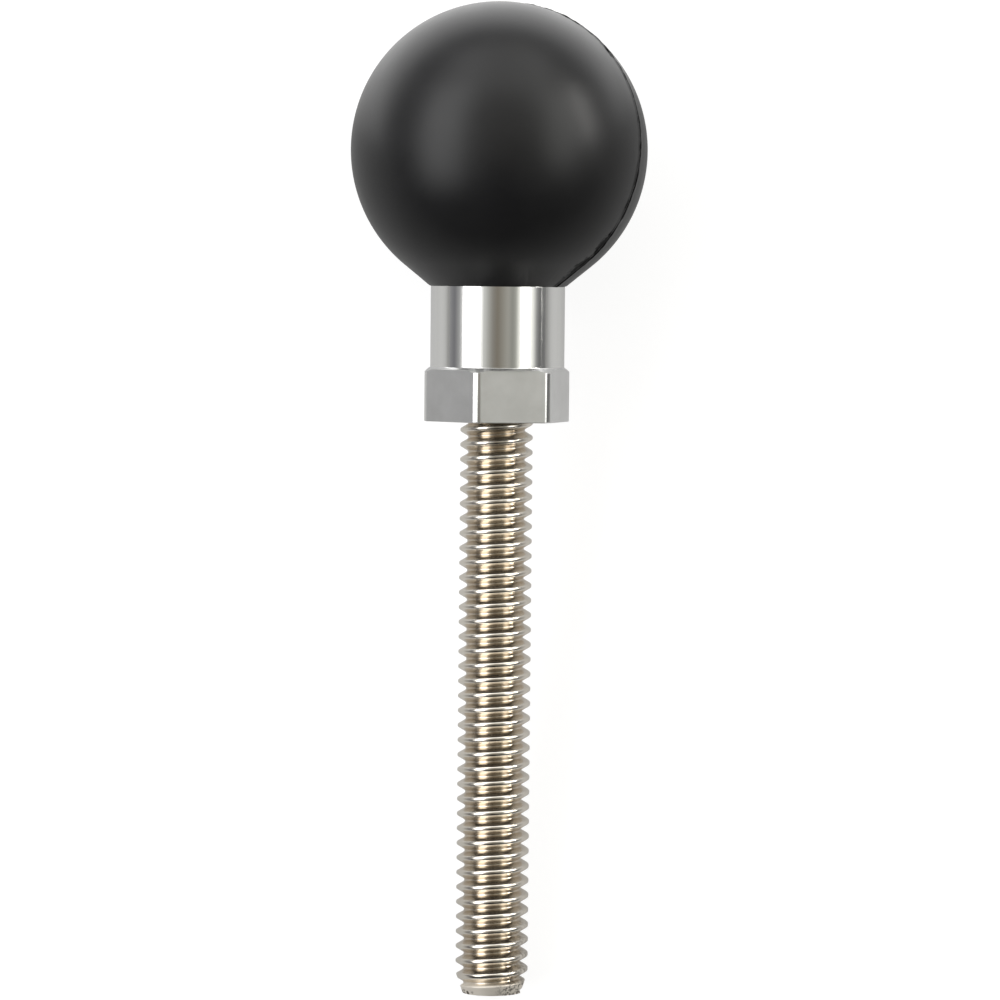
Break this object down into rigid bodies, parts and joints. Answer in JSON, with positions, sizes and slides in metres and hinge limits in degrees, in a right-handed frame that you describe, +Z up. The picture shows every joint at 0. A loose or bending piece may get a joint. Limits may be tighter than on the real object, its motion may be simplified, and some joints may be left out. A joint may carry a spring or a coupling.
{
  "type": "threaded ball adapter",
  "caption": "Rubber-covered mounting ball on a turned aluminium post with a hexagon for a spanner and a long threaded steel stud.",
  "frame": {"origin": "middle of the bounding box on the table that the adapter lies on", "axes": "+Z up from the table; +Y along the table towards the ball's end, with the adapter's own axis 7.8 degrees off the level, the stud's tip low and the ball resting on the table; +X across"},
  "size_m": [0.0254, 0.0848, 0.0254],
  "materials": {
    "ball_rubber": "satin moulded black rubber",
    "post_aluminium": "turned and polished collar, satin milled hexagon",
    "stud_steel": "bright rolled stainless thread, slightly warm in tone"
  },
  "bodies": {
    "root": {"rubber_ball": "ball_rubber", "hex_post": "post_aluminium", "threaded_stud": "stud_steel"}
  },
  "joints": []
}
